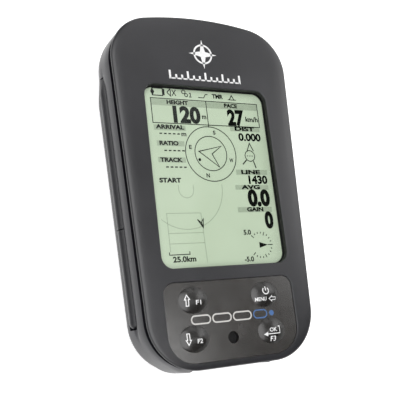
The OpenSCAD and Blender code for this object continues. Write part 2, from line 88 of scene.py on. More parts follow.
# ---- Sizes that the frame's boxes don't give: _R is a radius, _D a depth behind the side wall's surface ----
HALF_WIDTH = 39.3
SIDE_TAPER = 0.0385
SIDE_ANGLE = math.atan(SIDE_TAPER)
TOP_R, FOOT_R, BOW_R = 19.5, 20.5, 151.0
WALL = 2.6
FLOOR = 2.0
EDGE_REACH, EDGE_RISE = 4.2, 5.8  # rounded back edge
END_EDGE_REACH, END_EDGE_RISE = 8.0, 12.0  # the same at the antenna end
END_EDGE_FROM, END_EDGE_TO = 38, 51
TURN_Z, TURN_IN = 16.5, 0.7  # the side walls turn in towards the seal
SWELL_Z = 15  # the foot's swelling shrinks above this height
WINDOW_TRIM_T = 0.95
WINDOW_R = 5.0
PAD_TOP_R, PAD_FOOT_R = 4.5, 11.0
KEY_A, KEY_B, KEY_RISE = 6.3, 5.1, 1.44  # half axes and height of the key domes
KEY_GAP = 0.03
SOUNDER_R = 2.35
RIDGE_Z, RIDGE_R, RIDGE_PROUD = 9.4, 5.0, 0.6
RIDGE_LOW, RIDGE_HIGH = 7.15, 12.25
RIDGE_TOP_Y, RIDGE_RUN_OUT = 48.0, 7.0
GROOVE_Z, GROOVE_R, GROOVE_DEPTH = 12.7, 3.0, 0.75
SLIT_Y, SLIT_W = -15.25, 0.35
DOOR_FOOT_Y = -54.65
BAY_LOW, BAY_HIGH = 6.9, 12.5
GRIP_SLOT_D, DOOR_D, BAY_D, BAY_WALL_D = 1.6, 2.4, 4.9, 6.7
PIVOT_D, PIN_R = 2.0, 0.75
PIVOT_Y = DOOR_FOOT_Y + PIVOT_D + RIDGE_PROUD
USB_Y, USB_HALF = -45.3, 3.95
CARD_Y, CARD_HALF = -28.4, 12.3
POCKET_HALF, POCKET_BACK = 7.0, FOOT_Y + 8.65  # lanyard pocket in the foot
FOOT_RECESS_HALF, FOOT_RECESS_DEPTH = 18, 1.5
BOSSES = ((30, 58), (34.3, 8), (30, -58.5))
BOSS_R, BOSS_SPLIT = 2.6, 14.1
SCREW_HOLE_R, SCREW_HEAD_R, SCREW_HEAD_DEPTH = 1.45, 2.6, 2.4
POSTS = ((28, 44), (20, -56.5))
PAD_POSTS = ((-1.2, -43.5), (-8, -65.2), (5.4, -65.2))
DOT = 0.2235  # pitch of the display's dots


# ---- Outlines ----
def arc(x, y, r, start, end, steps=12):
    """Points of an arc, with angles in radians."""
    turns = [start + (end - start) * i / steps for i in range(steps + 1)]
    return [(x + r * math.cos(a), y + r * math.sin(a)) for a in turns]


def soft_rect(low, high, r_top, r_foot, grow=0.0, steps=12):
    """Rectangle with one corner radius at its top and one at its foot, moved outwards by grow."""
    x0, y0, x1, y1 = low[0], low[1], high[0], high[1]
    return (arc(x1 - r_foot, y0 + r_foot, r_foot + grow, -QUARTER, 0, steps)
            + arc(x1 - r_top, y1 - r_top, r_top + grow, 0, QUARTER, steps)
            + arc(x0 + r_top, y1 - r_top, r_top + grow, QUARTER, 2 * QUARTER, steps)
            + arc(x0 + r_foot, y0 + r_foot, r_foot + grow, 2 * QUARTER, 3 * QUARTER, steps))


def ellipse(centre, a, b, steps=64):
    turns = [4 * QUARTER * i / steps for i in range(steps)]
    return [(centre[0] + a * math.cos(t), centre[1] + b * math.sin(t)) for t in turns]


def case_rim():
    """The case outline, anticlockwise, as points with their inward directions."""
    slope = math.hypot(1, SIDE_TAPER)
    foot_cy = FOOT_Y + FOOT_R
    foot_cx = HALF_WIDTH + SIDE_TAPER * foot_cy - FOOT_R * slope
    bow_cy = FOOT_Y + CASE_LENGTH - BOW_R
    reach = HALF_WIDTH - TOP_R * slope
    a = slope * slope
    b = 2 * (reach * SIDE_TAPER - bow_cy)
    c = reach * reach + bow_cy * bow_cy - (BOW_R - TOP_R) ** 2
    top_cy = (math.sqrt(b * b - 4 * a * c) - b) / (2 * a)
    top_cx = reach + SIDE_TAPER * top_cy
    bow_angle = math.atan2(top_cy - bow_cy, top_cx)

    def sweep(x, y, r, start, end, steps):
        turns = [start + (end - start) * i / steps for i in range(steps + 1)]
        return [(Vector((x + r * math.cos(t), y + r * math.sin(t))), Vector((-math.cos(t), -math.sin(t))))
                for t in turns]

    foot = sweep(foot_cx, foot_cy, FOOT_R, -QUARTER, -SIDE_ANGLE, 26)
    head = sweep(top_cx, top_cy, TOP_R, -SIDE_ANGLE, bow_angle, 26)
    bow = sweep(0, bow_cy, BOW_R, bow_angle, QUARTER, 20)
    side_steps = 64
    side = [(foot[-1][0].lerp(head[0][0], i / side_steps), head[0][1]) for i in range(1, side_steps)]
    half = foot + side + head[:-1] + bow
    left = [(Vector((-p.x, p.y)), Vector((-n.x, n.y))) for p, n in reversed(half[:-1])]
    return half + left


RIM = case_rim()


def smooth_step(low, high, value):
    t = min(1.0, max(0.0, (value - low) / (high - low)))
    return t * t * (3 - 2 * t)


def groove_floor(z, y):
    """Depth of a finger groove's round floor, negative beyond its edges and its tapered ends."""
    run_out, fade = 8.0, 1.3
    start, end = DOOR_FOOT_Y + 1, RIDGE_TOP_Y - 4
    beyond = max(0.0, start - y, y - end) / run_out
    round_part = math.sqrt(max(0.0, GROOVE_R ** 2 - (z - GROOVE_Z) ** 2))
    return round_part - (GROOVE_R - GROOVE_DEPTH) - fade * beyond


def soft_max(first, second, soft):
    """The larger of two values, with a rounded change from one to the other."""
    return (first + second + math.sqrt((first - second) ** 2 + soft * soft)) / 2


def edge_inset(z, y):
    """Inset of the rounded back edge: a quarter of an ellipse that grows towards the antenna end."""
    share = smooth_step(END_EDGE_FROM, END_EDGE_TO, y)
    reach = EDGE_REACH + (END_EDGE_REACH - EDGE_REACH) * share
    rise = EDGE_RISE + (END_EDGE_RISE - EDGE_RISE) * share
    drop = max(0.0, rise - z) / rise
    return reach * (1 - math.sqrt(1 - drop * drop))


def case_outline(inset):
    """The case outline, moved inwards."""
    return [tuple(point + inward * inset) for point, inward in RIM]


def rear_ring(z):
    """One ring of the rear shell's skin: back edge, side grooves, turned-in top and swollen foot."""
    turn = TURN_IN * max(0.0, (z - TURN_Z) / (RIM_Z - TURN_Z)) ** 2
    swell = FOOT_BULGE * (1 - smooth_step(SWELL_Z, RIM_Z, z))
    blend, residue = 0.3, 0.012
    ring = []
    for point, inward in RIM:
        side_share = min(1.0, max(0.0, abs(inward.x) - 0.5) * 4)
        foot_share = smooth_step(0.85, 0.99, inward.y)
        groove = max(0.0, soft_max(0, groove_floor(z, point.y), blend) - residue)
        inset = edge_inset(z, point.y) + turn - swell * foot_share + groove * side_share
        ring.append((*(point + inward * inset), z))
    return ring


def cavity_ring(z):
    """One ring of the rear shell's inside."""
    return [(*(point + inward * (edge_inset(z, point.y) + WALL)), z) for point, inward in RIM]


def flat_ring(outline, z):
    return [(x, y, z) for x, y in outline]


def spline(p, q, r, s, t):
    """Catmull-Rom value between q and r."""
    square = 2 * p - 5 * q + 4 * r - s
    cube = 3 * q - p - 3 * r + s
    return 0.5 * (2 * q + (r - p) * t + square * t * t + cube * t ** 3)


def smooth_curve(points):
    """Curve through the points."""
    steps = 4
    padded = [points[0], *points, points[-1]]
    curve = []
    for stretch in zip(padded, padded[1:], padded[2:], padded[3:]):
        curve += [tuple(spline(*values, i / steps) for values in zip(*stretch)) for i in range(steps)]
    return curve + [points[-1]]


def quarter_flare(low_z, rise, grow):
    """(grow, z) pairs of a rounded lip that opens upwards."""
    steps = 8
    turns = [QUARTER * i / steps for i in range(steps + 1)]
    return [(grow * (1 - math.cos(t)), low_z + rise * math.sin(t)) for t in turns]


# ---- Mesh making ----
def link(name, mesh):
    piece = bpy.data.objects.new(name, mesh)
    bpy.context.scene.collection.objects.link(piece)
    return piece


def start_mesh(verts, faces):
    bm = bmesh.new()
    corners = [bm.verts.new(v) for v in verts]
    for face in faces:
        bm.faces.new([corners[i] for i in face])
    return bm


def finish_mesh(name, bm):
    """An object from a mesh, with its faces turned outwards."""
    bmesh.ops.recalc_face_normals(bm, faces=bm.faces)
    mesh = bpy.data.meshes.new(name)
    bm.to_mesh(mesh)
    bm.free()
    return link(name, mesh)


def loft(name, rings, closed=False):
    """A solid through rings of equal length in millimetres, capped at both ends or closed on itself."""
    n, m = len(rings[0]), len(rings)
    verts = [Vector(v) * MM for ring in rings for v in ring]
    spans = range(m if closed else m - 1)
    faces = [(k * n + i, k * n + (i + 1) % n, (k + 1) % m * n + (i + 1) % n, (k + 1) % m * n + i)
             for k in spans for i in range(n)]
    if not closed:
        faces += [tuple(reversed(range(n))), tuple(range((m - 1) * n, m * n))]
    return finish_mesh(name, start_mesh(verts, faces))


def outline_loft(name, outline, section, closed=False):
    """A solid whose outline(grow) follows the (grow, z) pairs of a section."""
    return loft(name, [flat_ring(outline(grow), z) for grow, z in section], closed)


def prism(outline, low, high):
    return loft("tool", [flat_ring(outline, low), flat_ring(outline, high)])


def rod(x, y, low, high, r, steps=48):
    return prism(ellipse((x, y), r, r, steps), low, high)


def block(low, high):
    """Axis-parallel box."""
    outline = [(low[0], low[1]), (high[0], low[1]), (high[0], high[1]), (low[0], high[1])]
    return prism(outline, low[2], high[2])


def at_side(depth, along, side=-1):
    """A place on the left side (or the right one), from its depth in the wall and its distance along it."""
    x = -HALF_WIDTH + depth * math.cos(SIDE_ANGLE) - along * math.sin(SIDE_ANGLE)
    return -side * x, depth * math.sin(SIDE_ANGLE) + along * math.cos(SIDE_ANGLE)


def side_block(depths, alongs, heights, side=-1):
    corners = [(depths[0], alongs[0]), (depths[1], alongs[0]), (depths[1], alongs[1]), (depths[0], alongs[1])]
    return prism([at_side(d, s, side) for d, s in corners], *heights)


def cross_rod(y, z, half, r):
    """Rod along X."""
    return loft("tool", [[(x, u, v) for u, v in ellipse((y, z), r, r, 48)] for x in (-half, half)])


def bake(piece):
    """Applies a piece's modifiers."""
    graph = bpy.context.evaluated_depsgraph_get()
    mesh = bpy.data.meshes.new_from_object(piece.evaluated_get(graph))
    piece.modifiers.clear()
    piece.data = mesh


def carve(piece, tools, operation="DIFFERENCE"):
    """Cuts the tools from the piece, or joins them to it."""
    for tool in tools:
        modifier = piece.modifiers.new("carve", "BOOLEAN")
        modifier.object = tool
        modifier.operation = operation
        modifier.solver = "MANIFOLD"
    bake(piece)
    for tool in tools:
        bpy.data.objects.remove(tool)


def soften(piece, width, segments, angle):
    """Rounds a piece's sharp edges."""
    bevel = piece.modifiers.new("soft edges", "BEVEL")
    bevel.width = width * MM
    bevel.segments = segments
    bevel.limit_method = "ANGLE"
    bevel.angle_limit = math.radians(angle)
    bevel.miter_outer = "MITER_ARC"
    bevel.use_clamp_overlap = True


def shade(piece, angle=38):
    """Smooth shading, kept crisp at sharp edges and flat on broad faces."""
    bm = bmesh.new()
    bm.from_mesh(piece.data)
    for face in bm.faces:
        face.smooth = True
    for edge in bm.edges:
        edge.smooth = edge.is_manifold and edge.calc_face_angle(0.0) < math.radians(angle)
    bm.to_mesh(piece.data)
    bm.free()
    weighted = piece.modifiers.new("even normals", "WEIGHTED_NORMAL")
    weighted.keep_sharp = True
    weighted.weight = 80


def place(piece, material, body="case", replaces=()):
    """Gives a new piece its material and its body, and hides the CAD nodes that it stands for."""
    piece.data.materials.clear()
    piece.data.materials.append(material)
    if replaces:
        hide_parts(*replaces)
    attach(piece, body)
    return piece


# ---- Materials ----
class Surface:
    """A principled material with helpers for the patterns that drive it. Pattern sizes are in millimetres."""

    def __init__(self, name, roughness=0.5, metallic=0.0, ior=1.5):
        self.material = bpy.data.materials.new(name)
        self.material.use_nodes = True
        self.nodes = self.material.node_tree.nodes
        self.links = self.material.node_tree.links
        self.shader = self.nodes["Principled BSDF"]
        self.shader.inputs["Roughness"].default_value = roughness
        self.shader.inputs["Metallic"].default_value = metallic
        self.shader.inputs["IOR"].default_value = ior
        self.where = self.nodes.new("ShaderNodeTexCoord").outputs["Object"]

    def join(self, source, target):
        """Links a pattern to a socket, or sets the socket to a number or a colour."""
        if isinstance(source, bpy.types.NodeSocket):
            self.links.new(source, target)
        else:
            target.default_value = (*source, 1) if isinstance(source, tuple) else source

    def math(self, operation, *values):
        node = self.nodes.new("ShaderNodeMath")
        node.operation = operation
        for value, socket in zip(values, node.inputs):
            self.join(value, socket)
        return node.outputs[0]

    def blend(self, first, first_share, second, second_share):
        """Weighted sum of two patterns."""
        scaled = self.math("MULTIPLY", second, second_share)
        return self.math("MULTIPLY_ADD", first, first_share, scaled)

    def span(self, value, low, high, to_low=0.0, to_high=1.0):
        node = self.nodes.new("ShaderNodeMapRange")
        for source, socket in zip((value, low, high, to_low, to_high), node.inputs):
            self.join(source, socket)
        return node.outputs[0]

    def stretched(self, stretch):
        node = self.nodes.new("ShaderNodeMapping")
        node.inputs["Scale"].default_value = stretch
        self.links.new(self.where, node.inputs["Vector"])
        return node.outputs[0]

    def noise(self, size, detail=2.0, stretch=None):
        node = self.nodes.new("ShaderNodeTexNoise")
        node.inputs["Scale"].default_value = 1 / (size * MM)
        node.inputs["Detail"].default_value = detail
        self.links.new(self.stretched(stretch) if stretch else self.where, node.inputs["Vector"])
        return node.outputs["Fac"]

    def cells(self, size, feature="F1"):
        node = self.nodes.new("ShaderNodeTexVoronoi")
        node.feature = feature
        node.inputs["Scale"].default_value = 1 / (size * MM)
        self.links.new(self.where, node.inputs["Vector"])
        return node.outputs["Distance"]

    def axis(self, name):
        node = self.nodes.new("ShaderNodeSeparateXYZ")
        self.links.new(self.where, node.inputs[0])
        return node.outputs[name]

    def mix(self, factor, first, second):
        node = self.nodes.new("ShaderNodeMix")
        node.data_type = "RGBA"
        sockets = (node.inputs["Factor"], node.inputs[6], node.inputs[7])
        for value, socket in zip((factor, first, second), sockets):
            self.join(value, socket)
        return node.outputs[2]

    def edge(self, radius):
        """About 1 at outer and inner edges, 0 on flat stretches."""
        bevel = self.nodes.new("ShaderNodeBevel")
        bevel.inputs["Radius"].default_value = radius * MM
        geometry = self.nodes.new("ShaderNodeNewGeometry")
        dot = self.nodes.new("ShaderNodeVectorMath")
        dot.operation = "DOT_PRODUCT"
        self.links.new(bevel.outputs[0], dot.inputs[0])
        self.links.new(geometry.outputs["Normal"], dot.inputs[1])
        return self.span(dot.outputs["Value"], 0.995, 0.85)

    def colour(self, value):
        self.join(value, self.shader.inputs["Base Color"])

    def roughness(self, value, low, high):
        self.links.new(self.span(value, 0.25, 0.75, low, high), self.shader.inputs["Roughness"])

    def bump(self, height, depth):
        node = self.nodes.new("ShaderNodeBump")
        node.inputs["Strength"].default_value = 1.0
        node.inputs["Distance"].default_value = depth * MM
        self.links.new(height, node.inputs["Height"])
        self.links.new(node.outputs[0], self.shader.inputs["Normal"])


def moulded_plastic(name, dark, light, rough, ior, grain, depth):
    """Moulded plastic: fine spark-eroded grain, slow tone changes, faint scratches and rubbed edges."""
    s = Surface(name, ior=ior)
    wear = (0.12, 0.12, 0.13)
    drift = s.noise(28, 3)
    speck = s.noise(0.5, 2)
    tone = s.mix(s.span(drift, 0.35, 0.65), dark, light)
    tone = s.mix(s.span(speck, 0.3, 0.7, 0, 0.25), tone, light)
    rubbed = s.math("MULTIPLY", s.edge(0.35), s.span(s.noise(3.5, 4), 0.5, 0.75, 0, 0.35))
    s.colour(s.mix(rubbed, tone, wear))
    scratch = s.noise(1.6, 3, (1, 0.06, 1))
    s.roughness(s.blend(drift, 0.6, scratch, 0.4), *rough)
    s.bump(s.blend(s.noise(grain, 3), 1.0, s.noise(grain * 3, 2), 0.5), depth)
    return s.material


def rubber(name, tone, ior):
    s = Surface(name, ior=ior)
    s.colour(s.mix(s.span(s.noise(2.5, 3), 0.35, 0.7), tone, tuple(c * 1.8 for c in tone)))
    s.roughness(s.noise(1.2, 3), 0.5, 0.72)
    s.bump(s.noise(0.2, 3), 0.01)
    return s.material


def metal(name, tone, rough=(0.22, 0.4)):
    """Brushed or drawn metal."""
    s = Surface(name, metallic=1.0)
    brushed = s.noise(0.9, 4, (1, 14, 1))
    s.colour(s.mix(brushed, tuple(c * 0.8 for c in tone), tone))
    s.roughness(s.blend(brushed, 0.6, s.noise(4, 3), 0.4), *rough)
    s.bump(brushed, 0.004)
    return s.material


def clear_lens():
    """Hard-coated clear plastic: see-through, with a faintly soft reflection."""
    s = Surface("lens_clear")
    clear = s.nodes.new("ShaderNodeBsdfTransparent")
    clear.inputs["Color"].default_value = (0.97, 0.985, 0.975, 1)
    gloss = s.nodes.new("ShaderNodeBsdfGlossy")
    s.links.new(s.span(s.noise(9, 4), 0.3, 0.7, 0.05, 0.1), gloss.inputs["Roughness"])
    facing = s.nodes.new("ShaderNodeLayerWeight")
    facing.inputs["Blend"].default_value = 0.5
    slanted = s.math("POWER", facing.outputs["Facing"], 5)
    mix = s.nodes.new("ShaderNodeMixShader")
    s.links.new(s.span(slanted, 0, 1, 0.04, 1), mix.inputs[0])
    s.links.new(clear.outputs[0], mix.inputs[1])
    s.links.new(gloss.outputs[0], mix.inputs[2])
    s.nodes.remove(s.shader)
    s.links.new(mix.outputs[0], s.nodes["Material Output"].inputs["Surface"])
    return s.material


def display_face():
    """Pale green reflective liquid crystal with its faint grid of dots."""
    s = Surface("lcd_green", 0.55)
    gaps = []
    for axis in "XY":
        phase = s.math("FRACT", s.math("MULTIPLY", s.axis(axis), 1 / (DOT * MM)))
        gaps.append(s.span(s.math("ABSOLUTE", s.math("SUBTRACT", phase, 0.5)), 0.38, 0.46))
    grid = s.math("MAXIMUM", *gaps)
    cloud = s.span(s.noise(30, 3), 0.3, 0.7)
    tone = s.mix(cloud, (0.545, 0.62, 0.475), (0.585, 0.66, 0.515))
    s.colour(s.mix(s.math("MULTIPLY", grid, 0.06), tone, (0.41, 0.48, 0.36)))
    s.roughness(s.noise(6, 3), 0.5, 0.65)
    s.bump(s.noise(0.12, 2), 0.003)
    return s.material


def print_ink(name, tone, rough=(0.4, 0.55), ior=1.5):
    """Screen-printed ink: slightly uneven, with a fine edge of relief."""
    s = Surface(name, ior=ior)
    s.colour(s.mix(s.span(s.noise(0.9, 3), 0.4, 0.8), tone, tuple(c * 0.86 for c in tone)))
    s.roughness(s.noise(0.6, 2), *rough)
    s.bump(s.noise(0.1, 2), 0.004)
    return s.material


def keypad_film(name, dark, light, rough, ior):
    """Metallic-filled, lightly brushed polyester film, more reflective than plain plastic."""
    s = Surface(name, ior=ior)
    brushed = s.noise(0.35, 3, (0.15, 1, 1))
    cloud = s.blend(brushed, 0.5, s.noise(16, 3), 0.5)
    s.colour(s.mix(s.span(cloud, 0.35, 0.65), dark, light))
    s.roughness(s.noise(5, 4), *rough)
    s.bump(s.blend(s.noise(0.14, 3), 1.0, brushed, 0.4), 0.003)
    return s.material


def circuit_board():
    """Green solder mask with copper traces showing through."""
    s = Surface("board_green")
    traces = s.span(s.cells(2.4, "DISTANCE_TO_EDGE"), 0.04, 0.08)
    s.colour(s.mix(traces, (0.03, 0.16, 0.06), (0.01, 0.07, 0.03)))
    s.roughness(s.noise(1.5, 3), 0.25, 0.45)
    s.bump(traces, 0.02)
    return s.material


def plain_part(name, dark, light, rough=(0.4, 0.6)):
    """Small inner part: mottled colour, uneven gloss and a fine grain."""
    s = Surface(name)
    s.colour(s.mix(s.span(s.noise(2.4, 3), 0.3, 0.7), dark, light))
    s.roughness(s.noise(1.2, 3), *rough)
    s.bump(s.noise(0.2, 3), 0.008)
    return s.material


def foam():
    s = Surface("grey_foam")
    pores = s.span(s.cells(0.5), 0.1, 0.6)
    s.colour(s.mix(pores, (0.03, 0.03, 0.03), (0.10, 0.10, 0.10)))
    s.roughness(pores, 0.8, 0.95)
    s.bump(pores, 0.12)
    return s.material


def label_film():
    """Matt silver label with blank printed rules."""
    s = Surface("label_silver", metallic=0.25)
    rule_pitch, rule_half = 4.2, 18.5
    row = s.math("FRACT", s.math("MULTIPLY", s.axis("Y"), 1 / (rule_pitch * MM)))
    rule = s.math("LESS_THAN", s.math("ABSOLUTE", s.math("SUBTRACT", row, 0.5)), 0.035)
    inner = s.math("LESS_THAN", s.math("ABSOLUTE", s.axis("X")), rule_half * MM)
    paper = s.mix(s.span(s.noise(3, 3), 0.3, 0.7), (0.52, 0.53, 0.54), (0.58, 0.59, 0.60))
    s.colour(s.mix(s.math("MULTIPLY", rule, inner), paper, (0.12, 0.12, 0.13)))
    s.roughness(s.noise(1.5, 3), 0.42, 0.55)
    s.bump(s.noise(0.3, 3), 0.004)
    return s.material


FRONT_PLASTIC = moulded_plastic("front_satin", (0.011, 0.011, 0.013), (0.016, 0.016, 0.019),
                                rough=(0.30, 0.38), ior=1.6, grain=0.16, depth=0.012)
REAR_PLASTIC = moulded_plastic("rear_satin", (0.005, 0.005, 0.008), (0.008, 0.008, 0.012),
                               rough=(0.30, 0.40), ior=1.42, grain=0.22, depth=0.018)
GRIP_PLASTIC = moulded_plastic("grip_satin", (0.005, 0.005, 0.007), (0.009, 0.009, 0.012),
                               rough=(0.32, 0.42), ior=1.45, grain=0.26, depth=0.02)
SEAL_RUBBER = rubber("seal_black", (0.003, 0.003, 0.003), ior=1.2)
TRIM_BLACK = rubber("trim_black", (0.002, 0.002, 0.002), ior=1.5)
LENS = clear_lens()
LCD_GREEN = display_face()
LCD_DARK = print_ink("lcd_ink_dark", (0.004, 0.005, 0.004), (0.6, 0.7), ior=1.1)
LCD_MID = print_ink("lcd_ink_mid", (0.008, 0.011, 0.008), (0.6, 0.7), ior=1.1)
LCD_BAR = print_ink("lcd_ink_bar", (0.40, 0.46, 0.35), (0.5, 0.6))
LCD_FAINT = print_ink("lcd_ink_faint", (0.30, 0.36, 0.26), (0.5, 0.6))
WHITE_PRINT = print_ink("print_white", (0.80, 0.80, 0.80))
SILVER_PRINT = print_ink("print_silver", (0.55, 0.54, 0.52))
BLUE_PRINT = print_ink("print_blue", (0.05, 0.13, 0.32))
PAD_FILM = keypad_film("pad_warm_grey", (0.020, 0.018, 0.016), (0.028, 0.025, 0.022),
                       rough=(0.20, 0.28), ior=1.95)
KEY_FILM = keypad_film("key_warm_grey", (0.014, 0.013, 0.012), (0.019, 0.018, 0.017),
                       rough=(0.22, 0.32), ior=1.55)
STEEL = metal("steel_plain", (0.62, 0.62, 0.64))
DARK_STEEL = metal("steel_blackened", (0.10, 0.10, 0.105), (0.3, 0.45))

CAD_MATERIALS = {
    "lens": LENS,
    "display": LCD_GREEN,
    "diffuser": plain_part("diffuser_white", (0.74, 0.74, 0.72), (0.80, 0.80, 0.78)),
    "frame_steel": metal("steel_tray", (0.58, 0.58, 0.60), (0.3, 0.45)),
    "ribbon": plain_part("ribbon_amber", (0.45, 0.20, 0.04), (0.55, 0.27, 0.07), (0.25, 0.4)),
    "connector_plastic": plain_part("connector_cream", (0.62, 0.58, 0.46), (0.70, 0.66, 0.54)),
    "circuit_board": circuit_board(),
    "switch_steel": metal("steel_dome", (0.66, 0.66, 0.66), (0.15, 0.3)),
    "screw_steel": STEEL,
    "foam": foam(),
    # Black membrane film, darkened further as painted shade so that the sounder hole reads black.
    "membrane": plain_part("membrane_black_painted_shade", (0.002, 0.002, 0.002), (0.004, 0.004, 0.004), (0.85, 0.95)),
    "chip_black": plain_part("chip_black", (0.018, 0.018, 0.020), (0.030, 0.030, 0.032)),
    "antenna_ceramic": plain_part("antenna_ceramic", (0.56, 0.50, 0.38), (0.64, 0.58, 0.46)),
    "socket_steel": metal("steel_socket", (0.66, 0.66, 0.67)),
    "card_plastic": plain_part("card_navy", (0.014, 0.022, 0.055), (0.020, 0.030, 0.075), (0.3, 0.45)),
    "battery_wrap": plain_part("battery_blue", (0.04, 0.12, 0.30), (0.06, 0.16, 0.36), (0.2, 0.35)),
    "wire_red": plain_part("wire_red", (0.42, 0.03, 0.02), (0.52, 0.05, 0.03), (0.3, 0.45)),
    "pin_steel": STEEL,
    "case_screw_steel": DARK_STEEL,
    "insert_brass": metal("insert_brass", (0.75, 0.55, 0.24)),
    "label_film": label_film(),
    "trim_black": TRIM_BLACK,
}


# ---- Case ----
def case_tools(shape):
    """One tool for each of the three bosses on both sides."""
    return [tool for x, y in BOSSES for side in (-1, 1) for tool in shape(side * x, y)]


def build_rear_shell():
    levels = [EDGE_RISE * (1 - math.cos(QUARTER * i / 12)) for i in range(12)]
    levels += [EDGE_RISE + 0.7 * i for i in range(5)]
    levels += [9.2 + 0.3 * i for i in range(25)]  # across the finger grooves
    levels += [TURN_Z + (SKIN_TOP - TURN_Z) * math.sin(QUARTER * i / 9) for i in range(1, 10)]
    shell = loft("rear_case", [rear_ring(z) for z in levels])

    hollow = loft("tool", [cavity_ring(z) for z in (FLOOR, 2.6, 3.2, 4.6, 6.4, 8.8, 12, RIM_Z + 1)])
    standing = [rod(side * x, y, 1, BOARD_Z, 2.3) for x, y in POSTS for side in (-1, 1)]
    standing += case_tools(lambda x, y: (rod(x, y, 1, BOSS_SPLIT, BOSS_R + 0.15), rod(x, y, 1, 4.6, 3.8)))
    standing += [
        side_block((1.2, BAY_WALL_D), (DOOR_FOOT_Y - 2, SLIT_Y + 1.6), (BAY_LOW - 1.5, BAY_HIGH + 1.1)),
        block((-POCKET_HALF - 2.2, FOOT_Y + 1.8, 1), (POCKET_HALF + 2.2, POCKET_BACK + 1.8, 15.4)),
    ]
    carve(hollow, standing)
    carve(shell, [hollow])

    through_wall = (BAY_D - 0.5, BAY_WALL_D + 0.5)
    cuts = case_tools(lambda x, y: (rod(x, y, 1, BOSS_SPLIT + 1, SCREW_HOLE_R),
                                    rod(x, y, -1, SCREW_HEAD_DEPTH, SCREW_HEAD_R)))
    cuts += [rod(side * x, y, BOARD_Z - 4.5, BOARD_Z + 1, 1.0) for x, y in POSTS for side in (-1, 1)]
    cuts += [
        side_block((-3, BAY_D), (DOOR_FOOT_Y - 0.1, SLIT_Y), (BAY_LOW, BAY_HIGH)),
        side_block((-3, GRIP_SLOT_D), (SLIT_Y - 0.1, RIDGE_TOP_Y + 0.3), (BAY_LOW, BAY_HIGH)),
        side_block((-3, GRIP_SLOT_D), (DOOR_FOOT_Y - 0.3, RIDGE_TOP_Y + 0.3), (BAY_LOW, BAY_HIGH), 1),
        side_block(through_wall, (USB_Y - USB_HALF, USB_Y + USB_HALF), (BOARD_Z - 4, BOARD_Z + 0.05)),
        side_block(through_wall, (CARD_Y - CARD_HALF, CARD_Y + CARD_HALF),
                   (CARD_LOW.z - 0.15, CARD_HIGH.z + 0.15)),
        rod(*at_side(PIVOT_D, PIVOT_Y), BAY_LOW - 1.2, BAY_HIGH + 0.8, PIN_R + 0.01),
        block((-POCKET_HALF, FOOT_Y - 2, 2.6), (POCKET_HALF, POCKET_BACK, 14.2)),
        block((-FOOT_RECESS_HALF, FOOT_Y - 2, 3),
              (FOOT_RECESS_HALF, FOOT_Y - FOOT_BULGE + FOOT_RECESS_DEPTH, FACE_Z)),
        cross_rod((BAR_LOW.y + BAR_HIGH.y) / 2, (BAR_LOW.z + BAR_HIGH.z) / 2, BAR_HIGH.x, 1.11),
        prism(soft_rect(LABEL_LOW, LABEL_HIGH, 2, 2, 0.1), -1, LABEL_HIGH.z),
    ]
    carve(shell, cuts)
    shade(shell)
    place(shell, REAR_PLASTIC, replaces=["rear_shell"])


def build_front_shell():
    drops = ((0.1, 1.5), (0, 1.2), (0.1, 0.85), (0.4, 0.55), (0.9, 0.35), (2, 0.18), (4, 0.05), (7, 0))
    crown = [(0.35, GASKET_TOP)] + [(inset, FACE_Z - drop) for inset, drop in drops]
    shell = outline_loft("front_case", case_outline, smooth_curve(crown))
    tongue = [(2.8, TONGUE_Z), (2.8, GASKET_TOP + 0.01)]
    carve(shell, [outline_loft("tool", case_outline, tongue)], "UNION")
    hollow = [(4.2, TONGUE_Z - 1), (4.2, PLATE_Z)]
    carve(shell, [outline_loft("tool", case_outline, hollow)])

    bosses = case_tools(lambda x, y: (rod(x, y, BOSS_SPLIT + 0.1, PLATE_Z + 0.1, BOSS_R),))
    bosses += [rod(x, y, PLATE_Z - 2.6, PLATE_Z + 0.1, 1.8) for x, y in PAD_POSTS]
    carve(shell, bosses, "UNION")

    lip = [(0, PLATE_Z - 0.1)] + quarter_flare(FACE_Z - 0.42, 0.44, 0.45)
    pad_lip = [(0.02, PAD_LOW.z)] + [(0.02 + grow, z) for grow, z in quarter_flare(FACE_Z - 0.42, 0.45, 0.5)]
    cuts = [
        prism(window_outline(1), PLATE_Z - 0.1, WINDOW_HIGH.z),
        outline_loft("tool", window_outline, lip),
        outline_loft("tool", pad_outline, pad_lip),
        rod(SOUNDER.x, SOUNDER.y, PLATE_Z - 1, FACE_Z, SOUNDER_R),
    ]
    cuts += [prism(ellipse(k, KEY_A + 0.2, KEY_B + 0.2), PLATE_Z - 1, FACE_Z) for k in KEYS.values()]
    cuts += case_tools(lambda x, y: (rod(x, y, BOSS_SPLIT, BOSS_SPLIT + 4.3, 2.0),
                                     rod(x, y, BOSS_SPLIT + 4.2, BOSS_SPLIT + 6, 1.35)))
    cuts += [rod(x, y, PLATE_Z - 3.6, PLATE_Z - 0.2, 0.66) for x, y in PAD_POSTS]
    carve(shell, cuts)
    shade(shell)
    place(shell, FRONT_PLASTIC, replaces=["front_shell"])


def window_outline(grow):
    trim = Vector((WINDOW_TRIM_T,) * 3)
    return soft_rect(WINDOW_LOW + trim, WINDOW_HIGH - trim, WINDOW_R, WINDOW_R, grow)


def pad_outline(grow):
    return soft_rect(PAD_LOW, PAD_HIGH, PAD_TOP_R, PAD_FOOT_R, grow, 16)


